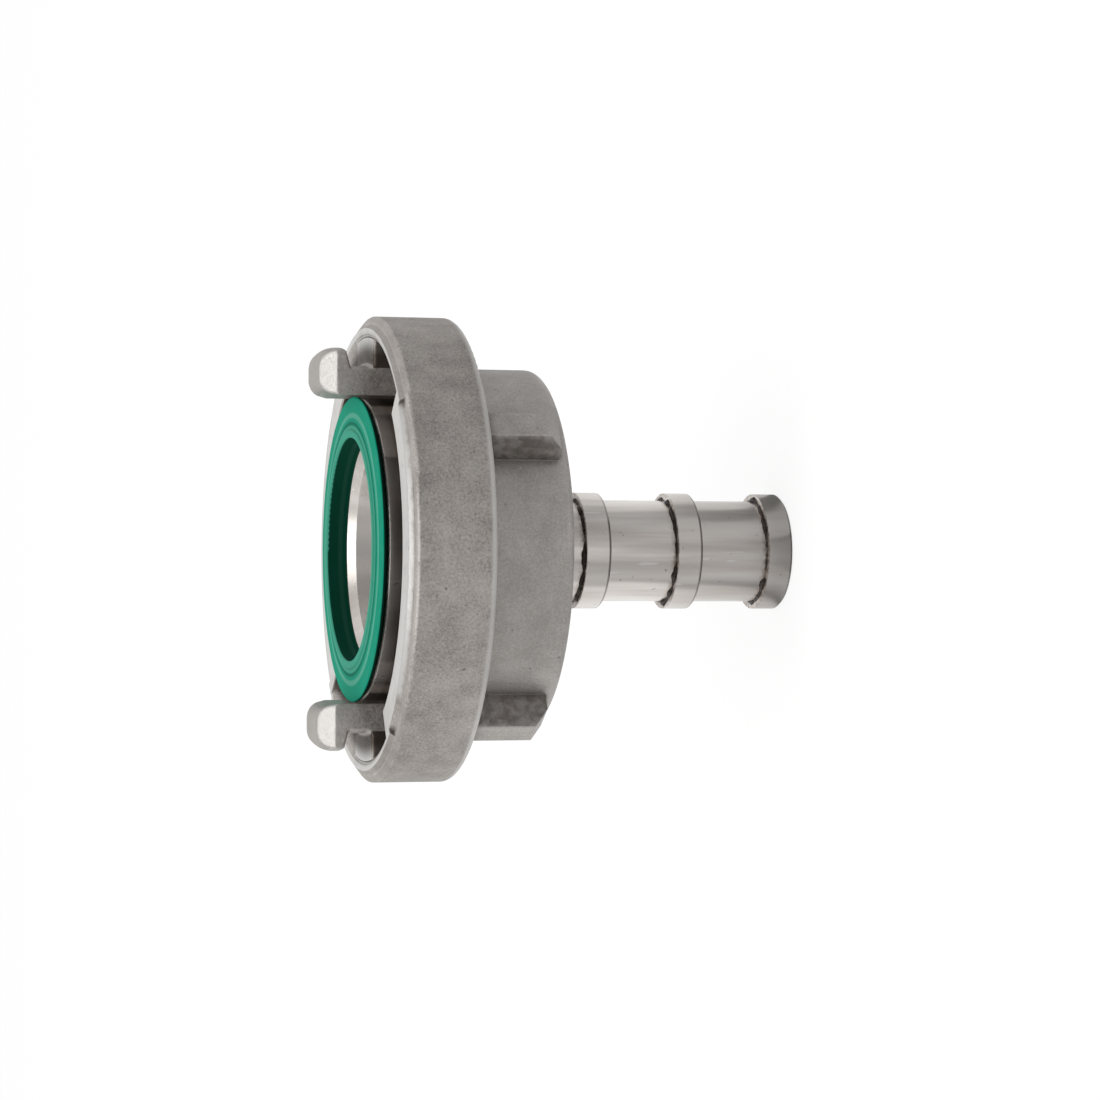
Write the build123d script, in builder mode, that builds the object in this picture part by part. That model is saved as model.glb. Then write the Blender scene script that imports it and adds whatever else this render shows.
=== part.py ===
from build123d import *
import os
from math import cos, radians, sin, sqrt

# Quarter turn claw coupling with a hose tail. It stands on the end of the tail.
# Millimetres. +Z runs along the axis from the tail's end to the claw tips, and the claws lie on X.

# Hose tail
tail_r = 11.0
tail_wall = 1.5
tail_end_chamfer = 0.7
ridge_height = 1.6
ridge_width = 5.5
ridge_pitch = 20.5
ridge_count = 3
ridge_back_chamfer = 0.4
tail_root_length = 3.0

# Body and head of the shank
neck_overhang = 5.0
neck_height = 6.5
neck_round = 3.0
body_step = 5.4
body_height = 7.0
head_height = 31.1
head_edge_chamfer = 0.4
mouth_wall = 1.7
mouth_chamfer = 1.65
mouth_edge_drop = 2.6
funnel_bottom_above_tail = 2.0

# Seal and its seat in the head
seal_seat_wall = 3.5
seal_seat_width = 3.6
seal_seat_depth = 5.7
seal_seat_undercut = 1.2
seal_seat_undercut_height = 2.6
seal_fit = 0.05
seal_mouth_width = 1.4
seal_flange_overhang = 0.3
seal_wall_height = 3.9
seal_lip_height = 0.6
seal_flange_thickness = 0.85
seal_flange_gap = 0.3
seal_lip_width = 1.6
seal_face_step = 0.35
seal_lip_round = 0.5
seal_edge_round = 0.35

# Spring ring that holds the claw ring on the shank
wire_r = 1.25
wire_gap_angle = 14.0
wire_seat_fit = 0.05
wire_running_gap = 0.35
wire_height_in_head = 9.0

# Running fit of the claw ring on the shank
running_fit = 0.08
end_play = 0.15

# Claw ring: hub, ring and bore
hub_wall = 6.6
hub_length = 19.1
hub_edge_round = 2.0
hub_shoulder_height = 6.75
rim_wall = 5.75
ring_width = 17.7
ring_front_edge_round = 0.9
ring_rear_edge_round = 1.3
ring_root_round = 1.5
ring_web = 4.15
ring_shoulder_drop = 1.0
ring_shoulder_width = 3.0
ring_plateau_chamfer = 0.8
bore_edge_chamfer = 0.6

# Lip that the mating claws hook behind, with the windows that let them in
lip_clearance = 0.4
lip_thickness = 5.15
lip_lead_in_rise = 1.5
lip_edge_round = 0.7
hook_clearance = 1.05
window_relief = 0.5
window_start = -46.0
window_end_of_lip = -147.0
window_corner_round = 2.0
window_edge_round = 2.4
lead_in_angle = 44.0
lead_in_clearance = 0.9
window_margin = 6.0
shoulder_inset_angle = 4.0
sector_chamfer_depth = 1.9
sector_chamfer_width = 2.5

# Claws
claw_half_width = 8.8
claw_reach = 10.8
claw_inner_r = 33.7
claw_face_clearance = 1.1
claw_stem_thickness = 5.45
claw_hook_overhang = 3.8
claw_hook_thickness = 6.35
claw_hook_undercut = 1.0
claw_nose_outer_round = 4.0
claw_nose_inner_round = 2.8
claw_notch_root_round = 1.1
claw_notch_hook_round = 0.4
claw_root_drop = 0.4
claw_root_land = 1.4
claw_bevel = 2.8
claw_bevel_start = 3.45
claw_edge_round = 0.6

# Wrench ribs on the hub
rib_count = 4
rib_angle = 34.0
rib_height = 7.3
rib_half_width = 3.1
rib_base_half_width = 3.8
rib_rear_gap = 2.65
rib_rear_bevel = 3.0
rib_rear_bevel_drop = 4.0
rib_edge_round = 0.8

# Places along the axis, from the tail's end
tail_length = (ridge_count - 1) * ridge_pitch + ridge_width + tail_root_length
body_rear_z = tail_length + neck_height
collar_z = body_rear_z + body_height
rim_z = collar_z + head_height
hub_rear_z = collar_z - end_play - hub_shoulder_height
ring_rear_z = hub_rear_z + hub_length
front_z = ring_rear_z + ring_width
pocket_floor_z = ring_rear_z + ring_web
lip_rear_z = front_z - lip_thickness
shoulder_z = front_z - ring_shoulder_drop
claw_tip_z = front_z + claw_reach
hook_rear_z = claw_tip_z - claw_hook_thickness
notch_root_z = front_z - claw_root_drop
claw_root_top_z = front_z - claw_root_drop / 2
seat_floor_z = rim_z - seal_seat_depth
mouth_edge_z = rim_z - mouth_edge_drop
wire_z = collar_z + wire_height_in_head

# Radii of the tail
tail_bore_r = tail_r - tail_wall
ridge_r = tail_r + ridge_height
neck_r = tail_r + neck_overhang

# Radii that follow inwards from the claws' inner faces
seal_flange_r = claw_inner_r - claw_face_clearance
head_r = seal_flange_r - seal_flange_overhang
body_r = head_r - body_step
seal_seat_outer_r = head_r - seal_seat_wall
seal_seat_inner_r = seal_seat_outer_r - seal_seat_width
seal_inner_r = seal_seat_inner_r - seal_mouth_width
mouth_r = seal_seat_inner_r - mouth_wall
funnel_top_r = mouth_r - mouth_chamfer

# Radii that follow outwards from them
claw_stem_r = claw_inner_r + claw_stem_thickness
claw_hook_r = claw_stem_r + claw_hook_overhang
lip_r = claw_stem_r + lip_clearance
groove_r = claw_hook_r + hook_clearance
window_r = groove_r + window_relief
ring_r = groove_r + rim_wall
ring_shoulder_r = ring_r - ring_shoulder_width
sector_chamfer_inner_r = ring_r - sector_chamfer_width
hub_r = head_r + hub_wall
rib_r = hub_r + rib_height

# Radii that follow from the fits
body_bore_r = body_r + running_fit
head_bore_r = head_r + running_fit
wire_ring_r = head_r + running_fit / 2
claw_foot_r = window_r + claw_root_land / 2
lead_in_r = claw_hook_r + lead_in_clearance

# How far a shape that cuts or joins runs past the face it meets
overrun = 1.0

os.makedirs("parts", exist_ok=True)


def corner(x, y):
    """The corner of the sketch in hand that lies nearest to x, y."""
    return vertices().sort_by_distance((x, y))[0]


def pie(start_angle, arc_size, radius):
    """Flat slice around the axis, from start_angle over arc_size degrees."""
    with BuildSketch() as slice_sketch:
        with BuildLine():
            arc = CenterArc((0, 0), radius, start_angle, arc_size)
            Line((0, 0), arc @ 0)
            Line((0, 0), arc @ 1)
        make_face()
    return slice_sketch.sketch


# Hose shank: tail with its ridges, neck, body and head, turned in one piece
with BuildPart() as hose_shank:
    with BuildSketch(Plane.XZ):
        with BuildLine():
            Polyline(
                (0, 0),
                (tail_r, 0),
                (tail_r, tail_length),
                (neck_r, body_rear_z),
                (body_r, body_rear_z),
                (body_r, collar_z),
                (head_r, collar_z),
                (head_r, rim_z),
                (0, rim_z),
                close=True,
            )
        make_face()
        fillet(corner(neck_r, body_rear_z), neck_round)
        chamfer(corner(head_r, rim_z), head_edge_chamfer)
    revolve(axis=Axis.Z)
    for ridge in range(ridge_count):
        ridge_z = ridge * ridge_pitch
        front_chamfer = tail_end_chamfer if ridge == 0 else ridge_back_chamfer
        with BuildSketch(Plane.XZ):
            with BuildLine():
                Polyline(
                    (tail_r - overrun, ridge_z),
                    (ridge_r - front_chamfer, ridge_z),
                    (ridge_r, ridge_z + front_chamfer),
                    (ridge_r, ridge_z + ridge_width),
                    (tail_r - overrun, ridge_z + ridge_width),
                    close=True,
                )
            make_face()
        revolve(axis=Axis.Z)
    # Water way: straight in the tail, a funnel in the body, a chamfer at the mouth
    funnel_bottom_z = tail_length + funnel_bottom_above_tail
    funnel_top_z = mouth_edge_z - mouth_chamfer
    with BuildSketch(Plane.XZ):
        with BuildLine():
            Polyline(
                (0, -overrun),
                (tail_bore_r, -overrun),
                (tail_bore_r, funnel_bottom_z),
                (funnel_top_r, funnel_top_z),
                (mouth_r, mouth_edge_z),
                (mouth_r, rim_z + overrun),
                (0, rim_z + overrun),
                close=True,
            )
        make_face()
    revolve(axis=Axis.Z, mode=Mode.SUBTRACT)
    # Seal seat: the inner wall is cut down to the mouth's edge, and the outer wall is undercut
    with BuildSketch(Plane.XZ):
        with BuildLine():
            Polyline(
                (mouth_r - overrun, rim_z + overrun),
                (mouth_r - overrun, mouth_edge_z),
                (seal_seat_inner_r, mouth_edge_z),
                (seal_seat_inner_r, seat_floor_z),
                (seal_seat_outer_r + seal_seat_undercut, seat_floor_z),
                (seal_seat_outer_r + seal_seat_undercut, seat_floor_z + seal_seat_undercut_height),
                (seal_seat_outer_r, seat_floor_z + seal_seat_undercut_height),
                (seal_seat_outer_r, rim_z + overrun),
                close=True,
            )
        make_face()
    revolve(axis=Axis.Z, mode=Mode.SUBTRACT)
    # Groove for the inner half of the spring ring
    with BuildSketch(Plane.XZ):
        with Locations((wire_ring_r, wire_z)):
            Circle(wire_r + wire_seat_fit)
    revolve(axis=Axis.Z, mode=Mode.SUBTRACT)
hose_shank.part.label = "hose_shank"

# Seal ring: foot in the seat, inner wall along the mouth, thin flange over the rim
flange_under_z = rim_z + seal_flange_gap
flange_edge_z = flange_under_z + seal_flange_thickness
seal_top_z = mouth_edge_z + seal_wall_height + seal_lip_height
with BuildPart() as seal_ring:
    with BuildSketch(Plane.XZ):
        with BuildLine():
            Polyline(
                (seal_inner_r, mouth_edge_z),
                (seal_seat_inner_r + seal_fit, mouth_edge_z),
                (seal_seat_inner_r + seal_fit, seat_floor_z),
                (seal_seat_outer_r + seal_seat_undercut - seal_fit, seat_floor_z),
                (
                    seal_seat_outer_r + seal_seat_undercut - seal_fit,
                    seat_floor_z + seal_seat_undercut_height - seal_fit,
                ),
                (seal_seat_outer_r - seal_fit, seat_floor_z + seal_seat_undercut_height - seal_fit),
                (seal_seat_outer_r - seal_fit, flange_under_z),
                (seal_flange_r, flange_under_z),
                (seal_flange_r, flange_edge_z),
                (seal_inner_r + seal_lip_width + seal_face_step, seal_top_z - seal_face_step),
                (seal_inner_r + seal_lip_width, seal_top_z),
                (seal_inner_r, seal_top_z),
                close=True,
            )
        make_face()
        fillet(corner(seal_inner_r, seal_top_z), seal_lip_round)
        fillet(corner(seal_inner_r + seal_lip_width, seal_top_z), seal_lip_round / 2)
        fillet(corner(seal_flange_r, flange_under_z), seal_edge_round)
        fillet(corner(seal_flange_r, flange_edge_z), seal_edge_round)
    revolve(axis=Axis.Z)
seal_ring.part.label = "seal_ring"

# Spring ring of round wire, open over a small angle
with BuildPart() as retaining_ring:
    with BuildSketch(Plane.XZ):
        with Locations((wire_ring_r, wire_z)):
            Circle(wire_r)
    revolve(axis=Axis.Z, revolution_arc=360 - wire_gap_angle)
retaining_ring.part.label = "retaining_ring"

# Over each claw and its windows the casting's front is flush out to a chamfer. Between them,
# over the lip, it steps down to a narrow shoulder.
shoulder_start = window_end_of_lip + shoulder_inset_angle
shoulder_size = window_start - shoulder_inset_angle - shoulder_start
with BuildPart() as lip_sectors:
    with BuildSketch(Plane.XY.offset(front_z - ring_width)):
        with PolarLocations(0, 2):
            add(pie(shoulder_start, shoulder_size, 2 * ring_r))
    extrude(amount=2 * ring_width)
with BuildPart() as flush_front:
    with BuildSketch(Plane.XZ):
        with BuildLine():
            Polyline(
                (window_r + overrun, shoulder_z - overrun),
                (window_r + overrun, front_z),
                (sector_chamfer_inner_r, front_z),
                (ring_r - overrun, shoulder_z - overrun),
                close=True,
            )
        make_face()
    revolve(axis=Axis.Z)
    add(lip_sectors.part, mode=Mode.SUBTRACT)
with BuildPart() as sector_chamfer:
    with BuildSketch(Plane.XZ):
        with BuildLine():
            Polyline(
                (sector_chamfer_inner_r, front_z),
                (sector_chamfer_inner_r, front_z + overrun),
                (ring_r + overrun, front_z + overrun),
                (ring_r + overrun, front_z - sector_chamfer_depth),
                (ring_r, front_z - sector_chamfer_depth),
                close=True,
            )
        make_face()
    revolve(axis=Axis.Z)
    add(lip_sectors.part, mode=Mode.SUBTRACT)

# Wide round that leads from the front down into each window, along the rim
window_size = 180 - (window_start - window_end_of_lip)
dish_inner_r = window_r - window_corner_round - window_relief
dish_bottom_z = front_z - window_edge_round
with BuildPart() as window_dish:
    with BuildSketch(Plane.XZ):
        with BuildLine():
            dish_arc = CenterArc((window_r + window_edge_round, dish_bottom_z), window_edge_round, 90, 90)
            Polyline(
                dish_arc @ 1,
                (dish_inner_r, dish_bottom_z),
                (dish_inner_r, front_z + overrun),
                (window_r + window_edge_round, front_z + overrun),
                dish_arc @ 0,
            )
        make_face()
    revolve(axis=Axis.Z)
    with BuildSketch(Plane.XY.offset(front_z - ring_width)):
        with PolarLocations(0, 2):
            add(pie(window_start, window_size, 2 * ring_r))
    extrude(amount=2 * ring_width, mode=Mode.INTERSECT)

# Lead-in under the lip, beside each window: its roof slopes up towards the window
with BuildPart() as lead_in:
    with BuildSketch(Plane.XY.offset(lip_rear_z - overrun)):
        add(pie(window_start - lead_in_angle, lead_in_angle + window_margin, lead_in_r))
        Circle(head_bore_r, mode=Mode.SUBTRACT)
    extrude(amount=lip_thickness)
    foot_angle = radians(window_start - lead_in_angle)
    foot_point = Vector(lead_in_r * cos(foot_angle), lead_in_r * sin(foot_angle), lip_rear_z)
    mouth_angle = radians(window_start)
    mouth_z = lip_rear_z + lip_lead_in_rise
    mouth_point = Vector(lead_in_r * cos(mouth_angle), lead_in_r * sin(mouth_angle), mouth_z)
    across = Vector(cos(foot_angle), sin(foot_angle), 0)
    roof = Plane(origin=foot_point, x_dir=across, z_dir=across.cross(mouth_point - foot_point))
    split(bisect_by=roof, keep=Keep.BOTTOM if roof.z_dir.Z > 0 else Keep.TOP)

# Notch behind each claw's hook. It dips a little into the ring's front face.
notch_outer_r = window_r + claw_root_land
hook_slope = claw_hook_undercut / (claw_hook_r - claw_stem_r)
with BuildPart() as claw_notch:
    with BuildSketch(Plane.XZ):
        with BuildLine():
            Polyline(
                (claw_stem_r, notch_root_z),
                (notch_outer_r, notch_root_z),
                (notch_outer_r, hook_rear_z + hook_slope * (notch_outer_r - claw_stem_r)),
                (claw_stem_r, hook_rear_z),
                close=True,
            )
        make_face()
        fillet(corner(claw_stem_r, notch_root_z), claw_notch_root_round)
        fillet(corner(claw_stem_r, hook_rear_z), claw_notch_hook_round)
        fillet(corner(notch_outer_r, notch_root_z), claw_root_drop / 2)
    revolve(axis=Axis.Z)
    with BuildSketch(Plane.XY.offset(notch_root_z - overrun)):
        Rectangle(2 * ring_r, 2 * (claw_half_width + claw_root_land))
    extrude(amount=claw_reach + 2 * overrun, mode=Mode.INTERSECT)

# Claws: a turned section, cut to the claws' width, with bevelled ends that lead in
claw_foot_z = ring_rear_z + ring_web / 2
with BuildPart() as claws:
    with BuildSketch(Plane.XZ):
        with BuildLine():
            Polyline(
                (claw_inner_r, claw_foot_z),
                (claw_inner_r, claw_tip_z),
                (claw_hook_r, claw_tip_z),
                (claw_hook_r, claw_root_top_z),
                (claw_foot_r, claw_root_top_z),
                (claw_foot_r, claw_foot_z),
                close=True,
            )
        make_face()
        fillet(corner(claw_hook_r, claw_tip_z), claw_nose_outer_round)
        fillet(corner(claw_inner_r, claw_tip_z), claw_nose_inner_round)
    revolve(axis=Axis.Z)
    bevel_z = claw_tip_z - claw_bevel_start
    nose_half_width = claw_half_width - claw_bevel * (claw_bevel_start + overrun) / claw_bevel_start
    with BuildSketch(Plane.YZ):
        with BuildLine():
            Polyline(
                (claw_half_width, claw_foot_z - overrun),
                (claw_half_width, bevel_z),
                (nose_half_width, claw_tip_z + overrun),
                (-nose_half_width, claw_tip_z + overrun),
                (-claw_half_width, bevel_z),
                (-claw_half_width, claw_foot_z - overrun),
                close=True,
            )
        make_face()
    extrude(amount=ring_r, both=True, mode=Mode.INTERSECT)
    add(claw_notch.part, mode=Mode.SUBTRACT)
    standing_edges = edges().filter_by(lambda e: e.center().Z > claw_root_top_z)
    fillet(standing_edges, claw_edge_round)

# Wrench rib: drafted sides, bevelled rear end, drawn along X and set around the hub below
with BuildPart() as wrench_rib:
    with BuildSketch(Plane.XY.offset(hub_rear_z + rib_rear_gap)):
        with BuildLine():
            Polyline(
                (hub_r - 2 * overrun, -rib_base_half_width),
                (rib_r, -rib_half_width),
                (rib_r, rib_half_width),
                (hub_r - 2 * overrun, rib_base_half_width),
                close=True,
            )
        make_face()
    extrude(amount=ring_rear_z - hub_rear_z - rib_rear_gap + overrun)
    outer_rear_edge = edges().group_by(Axis.Z)[0].sort_by(Axis.X)[-1]
    chamfer(outer_rear_edge, length=rib_rear_bevel, length2=rib_rear_bevel_drop)
    fillet(edges().filter_by(Axis.Z).sort_by(Axis.X)[-2:], rib_edge_round)

# Claw ring: one casting with hub, ring, lip, windows, claws and ribs
with BuildPart() as claw_ring:
    with BuildSketch(Plane.XZ):
        with BuildLine():
            Polyline(
                (body_bore_r, hub_rear_z),
                (hub_r, hub_rear_z),
                (hub_r, ring_rear_z),
                (ring_r, ring_rear_z),
                (ring_r, shoulder_z),
                (ring_shoulder_r, shoulder_z),
                (ring_shoulder_r - ring_plateau_chamfer, front_z),
                (lip_r, front_z),
                (lip_r, lip_rear_z),
                (groove_r, lip_rear_z),
                (groove_r, pocket_floor_z),
                (head_bore_r, pocket_floor_z),
                (head_bore_r, hub_rear_z + hub_shoulder_height),
                (body_bore_r, hub_rear_z + hub_shoulder_height),
                close=True,
            )
        make_face()
        chamfer(corner(body_bore_r, hub_rear_z), bore_edge_chamfer)
        fillet(corner(hub_r, hub_rear_z), hub_edge_round)
        fillet(corner(hub_r, ring_rear_z), ring_root_round)
        fillet(corner(ring_r, ring_rear_z), ring_rear_edge_round)
        fillet(corner(ring_r, shoulder_z), ring_front_edge_round)
        fillet(corner(lip_r, front_z), lip_edge_round)
        fillet(corner(lip_r, lip_rear_z), lip_edge_round)
    revolve(axis=Axis.Z)
    add(flush_front.part)
    # Windows: the lip is open from just past each claw to where its lip sector starts
    with BuildSketch(Plane.XY.offset(pocket_floor_z)):
        with PolarLocations(0, 2):
            add(pie(window_start, window_size, window_r))
        Circle((claw_inner_r + head_bore_r) / 2, mode=Mode.SUBTRACT)
        rim_corners = vertices().filter_by(lambda v: abs(sqrt(v.X**2 + v.Y**2) - window_r) < 0.01)
        fillet(rim_corners, window_corner_round)
    extrude(amount=ring_width, mode=Mode.SUBTRACT)
    add(window_dish.part, mode=Mode.SUBTRACT)
    with PolarLocations(0, 2):
        add(lead_in.part, mode=Mode.SUBTRACT)
    add(sector_chamfer.part, mode=Mode.SUBTRACT)
    add(claw_notch.part, mode=Mode.SUBTRACT)
    add(claws.part)
    with PolarLocations(0, rib_count, start_angle=rib_angle):
        add(wrench_rib.part)
    # Groove for the outer half of the spring ring, free of the wire all round
    with BuildSketch(Plane.XZ):
        with Locations((wire_ring_r, wire_z)):
            Circle(wire_r + wire_running_gap)
    revolve(axis=Axis.Z, mode=Mode.SUBTRACT)
claw_ring.part.label = "claw_ring"

for piece in (hose_shank, seal_ring, retaining_ring, claw_ring):
    export_step(piece.part, f"parts/{piece.part.label}.step")
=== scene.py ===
from math import cos, pi, radians, sin

import bmesh
import bpy
from bpy.props import FloatProperty, FloatVectorProperty, IntProperty, PointerProperty
from mathutils import Matrix, Vector, noise


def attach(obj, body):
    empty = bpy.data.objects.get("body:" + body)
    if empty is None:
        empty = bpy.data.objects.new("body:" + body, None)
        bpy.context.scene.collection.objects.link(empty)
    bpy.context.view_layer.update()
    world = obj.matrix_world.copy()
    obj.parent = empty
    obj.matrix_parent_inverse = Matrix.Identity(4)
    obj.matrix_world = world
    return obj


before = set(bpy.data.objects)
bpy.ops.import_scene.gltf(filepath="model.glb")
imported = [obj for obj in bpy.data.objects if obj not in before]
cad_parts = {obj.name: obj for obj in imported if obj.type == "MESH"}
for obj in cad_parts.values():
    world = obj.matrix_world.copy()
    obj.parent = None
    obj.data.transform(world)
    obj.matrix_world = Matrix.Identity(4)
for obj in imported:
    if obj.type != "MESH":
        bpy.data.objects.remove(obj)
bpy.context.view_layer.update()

bl_info = {
    "name": "Claw Coupling Dresser",
    "version": (1, 0, 0),
    "blender": (4, 5, 0),
    "location": "3D Viewport > Sidebar > Coupling",
    "description": "Dresses a quarter turn hose coupling with its metal and rubber finishes",
    "category": "Object",
}

SHANK = "shank"
MM = 0.001

# Heights along the axis, from the end of the hose tail.
RIDGE_LENGTH = 5.5 * MM
RIDGE_CORNERS = (5.5 * MM, 26.0 * MM, 46.5 * MM)  # Behind each ridge, where the residue lies.
HUB_TOP = 76.5 * MM
HEAD_FOOT = 76.0 * MM
HEAD_MIDDLE = 82.0 * MM
HEAD_EDGE = 91.0 * MM
FRONT_LOW = 92.5 * MM
FRONT_HIGH = 94.4 * MM
SEAL_LINE_LOW = 92.6 * MM
SEAL_LINE_HIGH = 93.3 * MM
HOOK_FOOT = 96.5 * MM
NOSE_FOOT = 101.0 * MM

# Radii from the axis: the shank, the seal, then the claw ring.
TAIL_RADIUS = 11.0 * MM
HEAD_INSIDE = 24.5 * MM
SEAL_LIP = (23.6 * MM, 26.3 * MM)
SEAL_BORE = (25.0 * MM, 26.0 * MM)
SEAL_GROOVE = (26.6 * MM, 27.1 * MM)
SEAL_RIDGE = (28.3 * MM, 28.9 * MM)
SEAL_SIDE = (31.6 * MM, 32.2 * MM)
STEM_OUTSIDE = 39.2 * MM
LIP_OUTSIDE = 41.6 * MM
CREST = (45.4 * MM, 46.3 * MM)
RIM_INSIDE = 45.5 * MM
RIM_OUTSIDE = 46.6 * MM
RING_OUTSIDE = 49.2 * MM

# Between the claws, a point's distance from the YZ plane is under this share of its radius.
SECTOR_SHARE = 0.64

# How far a surface faces to the mouth: 1 is square to the axis, 0 is upright. A mask rises from the
# first number to the second, or for a band lies between them.
FACES_FRONT = (0.9, 0.97)
CREST_LEAN = (0.3, 0.5)
BEVEL_LEAN = (0.4, 0.9)
SLOPE_LEAN = (0.35, 0.93)
UPRIGHT = (0.6, 0.3)
# How far a surface faces round the axis: 1 is a rib's or claw's side.
RIB_SIDE = (0.45, 0.75)
BEVEL_SIDE = (0.3, 0.45)

# The residue's size at a point, as shares of its mean: the middle, how much wide and fine lumps add
# or take, how much finer the fine ones are, the limits, and the step from one corner's lumps to the next.
SWELL_MIDDLE = 0.6
SWELL_WIDE = 0.85
SWELL_FINE = 0.22
SWELL_FINENESS = 3.1
SWELL_LIMITS = (0.12, 1.3)
SWELL_STEP = 7.3


class CastingLook(bpy.types.PropertyGroup):
    """Blasted stainless casting of the claw ring."""

    shade: FloatVectorProperty(
        name="Shade", description="Colour in the hollows of the blasted skin",
        subtype="COLOR", size=3, min=0, max=1, default=(0.275, 0.252, 0.232))
    tint: FloatVectorProperty(
        name="Tint", description="Colour on the high spots of the blasted skin",
        subtype="COLOR", size=3, min=0, max=1, default=(0.57, 0.535, 0.505))
    faced: FloatVectorProperty(
        name="Faced", description="Colour of the machined front",
        subtype="COLOR", size=3, min=0, max=1, default=(0.64, 0.63, 0.615))
    ground: FloatVectorProperty(
        name="Ground", description="Colour of the bright ground bevels of the claws",
        subtype="COLOR", size=3, min=0, max=1, default=(0.5, 0.485, 0.465))
    # Laid on as a painted highlight along the front's edge between the claws.
    crest: FloatVectorProperty(
        name="Crest", description="Colour of the bright line along the front between the claws",
        subtype="COLOR", size=3, min=0, max=1, default=(0.56, 0.55, 0.535))
    # Laid on as painted shade: inside the rim, in every hollow, and on the rib sides.
    painted_shade: FloatVectorProperty(
        name="Film", description="Colour of the brown film in the hollows",
        subtype="COLOR", size=3, min=0, max=1, default=(0.09, 0.072, 0.058))
    # Rubbed edges and bright specks, and also the painted highlight along the ring's rear edge.
    wear_and_highlight: FloatVectorProperty(
        name="Worn edge", description="Colour where edges are rubbed bright",
        subtype="COLOR", size=3, min=0, max=1, default=(0.72, 0.71, 0.69))
    pit: FloatVectorProperty(
        name="Pit", description="Colour in the casting pits",
        subtype="COLOR", size=3, min=0, max=1, default=(0.09, 0.075, 0.065))
    grain: FloatProperty(
        name="Grain", description="Size of the blasted grain",
        unit="LENGTH", default=0.45 * MM)
    blotch: FloatProperty(
        name="Blotch", description="Size of the soft dark blotches",
        unit="LENGTH", default=5.0 * MM)
    pit_spacing: FloatProperty(
        name="Pit spacing", description="Cell in which a casting pit may lie",
        unit="LENGTH", default=2.6 * MM)
    # Width of the hollows that get the painted shade.
    painted_shade_reach: FloatProperty(
        name="Film reach", description="Width of a hollow that holds the brown film",
        unit="LENGTH", default=4.0 * MM)
    edge_round: FloatProperty(
        name="Edge softness", description="Radius over which shading softens an edge",
        unit="LENGTH", default=0.5 * MM)
    roughness: FloatProperty(
        name="Roughness", description="Roughness of the blasted skin",
        min=0, max=1, default=0.5)
    metallic: FloatProperty(
        name="Metallic", description="How far the blasted skin shines as bare metal",
        min=0, max=1, default=0.8)


class TurnedLook(bpy.types.PropertyGroup):
    """Turned stainless of the hose shank."""

    tint: FloatVectorProperty(
        name="Tint", description="Colour of the bright turned steel",
        subtype="COLOR", size=3, min=0, max=1, default=(0.71, 0.675, 0.64))
    dull: FloatVectorProperty(
        name="Dull", description="Colour of the duller streaks",
        subtype="COLOR", size=3, min=0, max=1, default=(0.575, 0.532, 0.497))
    # Laid on as painted shade round the head inside the claws.
    painted_shade: FloatVectorProperty(
        name="Film", description="Colour of the brown film on the head inside the claws",
        subtype="COLOR", size=3, min=0, max=1, default=(0.4, 0.315, 0.265))
    scratch: FloatVectorProperty(
        name="Scratch", description="Colour of the fine bright scratches",
        subtype="COLOR", size=3, min=0, max=1, default=(0.85, 0.84, 0.82))
    spot: FloatVectorProperty(
        name="Spot", description="Colour of the small dark spots",
        subtype="COLOR", size=3, min=0, max=1, default=(0.14, 0.11, 0.09))
    stain: FloatVectorProperty(
        name="Stain", description="Colour of the brown stain next to the residue",
        subtype="COLOR", size=3, min=0, max=1, default=(0.15, 0.09, 0.055))
    # Laid on as painted shade on each ridge's front edge chamfer.
    painted_edge_shade: FloatVectorProperty(
        name="Edge line", description="Colour of the dark line on each ridge's front edge",
        subtype="COLOR", size=3, min=0, max=1, default=(0.1, 0.08, 0.065))
    line_pitch: FloatProperty(
        name="Line pitch", description="Distance between the turning lines",
        unit="LENGTH", default=0.16 * MM)
    streaks: FloatProperty(
        name="Streaks", description="How many soft lengthwise streaks lie around the tail",
        min=1, max=60, default=14)
    roughness: FloatProperty(
        name="Roughness", description="Roughness across the turning lines",
        min=0, max=1, default=0.2)
    anisotropy: FloatProperty(
        name="Anisotropy", description="How much the turning lines draw out highlights",
        min=0, max=1, default=0.8)


class SealLook(bpy.types.PropertyGroup):
    """Green elastomer of the seal."""

    tint: FloatVectorProperty(
        name="Tint", description="Colour of the elastomer",
        subtype="COLOR", size=3, min=0, max=1, default=(0.002, 0.235, 0.145))
    # Laid on as painted shade in the bore and in the groove.
    deep: FloatVectorProperty(
        name="Deep", description="Colour in the bore and in the groove",
        subtype="COLOR", size=3, min=0, max=1, default=(0.0005, 0.036, 0.019))
    # Laid on as a painted shadow on the flange's outer side, in the gap.
    gap: FloatVectorProperty(
        name="Gap", description="Colour of the grime on the flange's outer side",
        subtype="COLOR", size=3, min=0, max=1, default=(0.004, 0.008, 0.006))
    # Real dust and bloom, and also the painted highlight on the lip and ridge.
    dust_and_sheen: FloatVectorProperty(
        name="Dust", description="Paler bloom on the lip's crest and edges",
        subtype="COLOR", size=3, min=0, max=1, default=(0.26, 0.5, 0.42))
    grain: FloatProperty(
        name="Grain", description="Size of the moulded grain",
        unit="LENGTH", default=0.3 * MM)
    edge_round: FloatProperty(
        name="Edge softness", description="Radius over which shading softens an edge",
        unit="LENGTH", default=0.3 * MM)
    roughness: FloatProperty(
        name="Roughness", description="Roughness of the elastomer",
        min=0, max=1, default=0.55)
    shine: FloatProperty(
        name="Shine", description="How strongly the elastomer reflects at all",
        min=0, max=1, default=0.01)


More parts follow.
